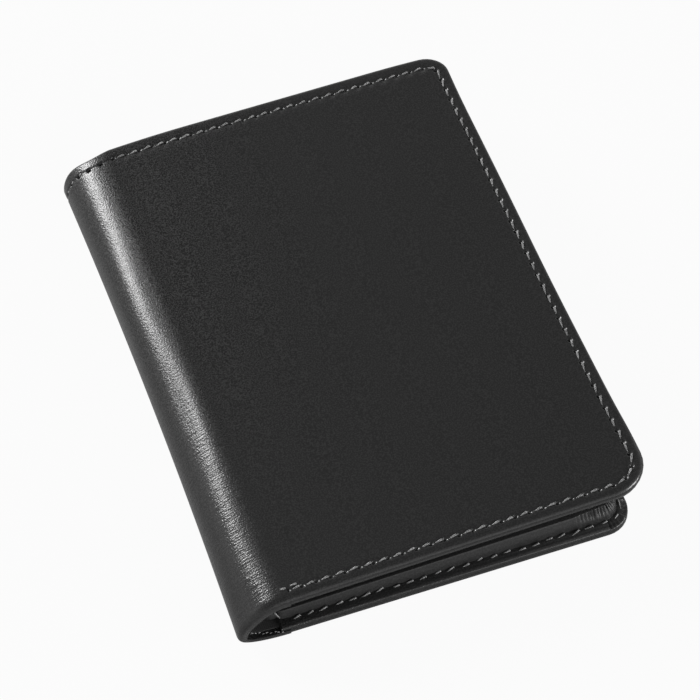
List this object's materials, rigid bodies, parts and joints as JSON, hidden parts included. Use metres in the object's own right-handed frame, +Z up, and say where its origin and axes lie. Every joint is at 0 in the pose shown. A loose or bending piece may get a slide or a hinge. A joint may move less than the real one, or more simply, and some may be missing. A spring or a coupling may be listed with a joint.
{
  "type": "leather wallet",
  "caption": "Slim book-fold wallet with sewn turned-edge covers, a soft rolled fold, stepped card slots, an identity card window and a slip compartment for notes behind each panel.",
  "frame": {"origin": "centre of the closed wallet's footprint, on the surface it lies on", "axes": "+X from the fold to the free edges, +Y along the fold, +Z up out of the front cover"},
  "size_m": [0.088, 0.12, 0.0158],
  "materials": {
    "cover_leather": "smooth black leather with a fine grain and a soft sheen",
    "slot_leather": "thin black leather, satin",
    "lining_cloth": "plain woven black lining",
    "stiff_board": "uncoated fibre board",
    "clear_film": "clear flexible film",
    "thread": "waxed light grey sewing thread"
  },
  "bodies": {
    "back": {"back_cover_leather": "cover_leather", "back_board": "stiff_board", "back_lining": "lining_cloth", "back_panel_allowance": "slot_leather", "back_inner_panel": "slot_leather", "back_slot_1_allowance": "slot_leather", "back_card_slot_1": "slot_leather", "back_slot_2_allowance": "slot_leather", "back_card_slot_2": "slot_leather", "spine_leather_1": "cover_leather", "spine_lining_1": "lining_cloth"},
    "fold_side": {"spine_leather_2": "cover_leather", "spine_lining_2": "lining_cloth"},
    "fold_top": {"spine_leather_3": "cover_leather", "spine_lining_3": "lining_cloth"},
    "front": {"front_cover_leather": "cover_leather", "front_board": "stiff_board", "front_lining": "lining_cloth", "front_panel_allowance": "slot_leather", "front_inner_panel": "slot_leather", "front_slot_1_allowance": "slot_leather", "front_card_slot_1": "slot_leather", "id_window_allowance": "slot_leather", "id_window_film": "clear_film", "id_window_frame": "slot_leather", "spine_leather_4": "cover_leather", "spine_lining_4": "lining_cloth"}
  },
  "joints": [
    {"name": "fold_crease", "type": "hinge", "parent": "back", "child": "fold_side", "pos_m": [-0.04367, 0, 0.00265], "axis": [0, -1, 0], "range_deg": [0, 109.1]},
    {"name": "fold_middle", "type": "hinge", "parent": "fold_side", "child": "fold_top", "pos_m": [-0.04253, 0, 0.00865], "axis": [0, -1, 0], "range_deg": [0, 38.6]},
    {"name": "fold_upper", "type": "hinge", "parent": "fold_top", "child": "front", "pos_m": [-0.03765, 0, 0.01283], "axis": [0, -1, 0], "range_deg": [0, 30.9]}
  ],
  "couplings": [
    {"joint": "fold_middle", "follows": "fold_crease", "ratio": 0.3532},
    {"joint": "fold_upper", "follows": "fold_crease", "ratio": 0.2825}
  ]
}
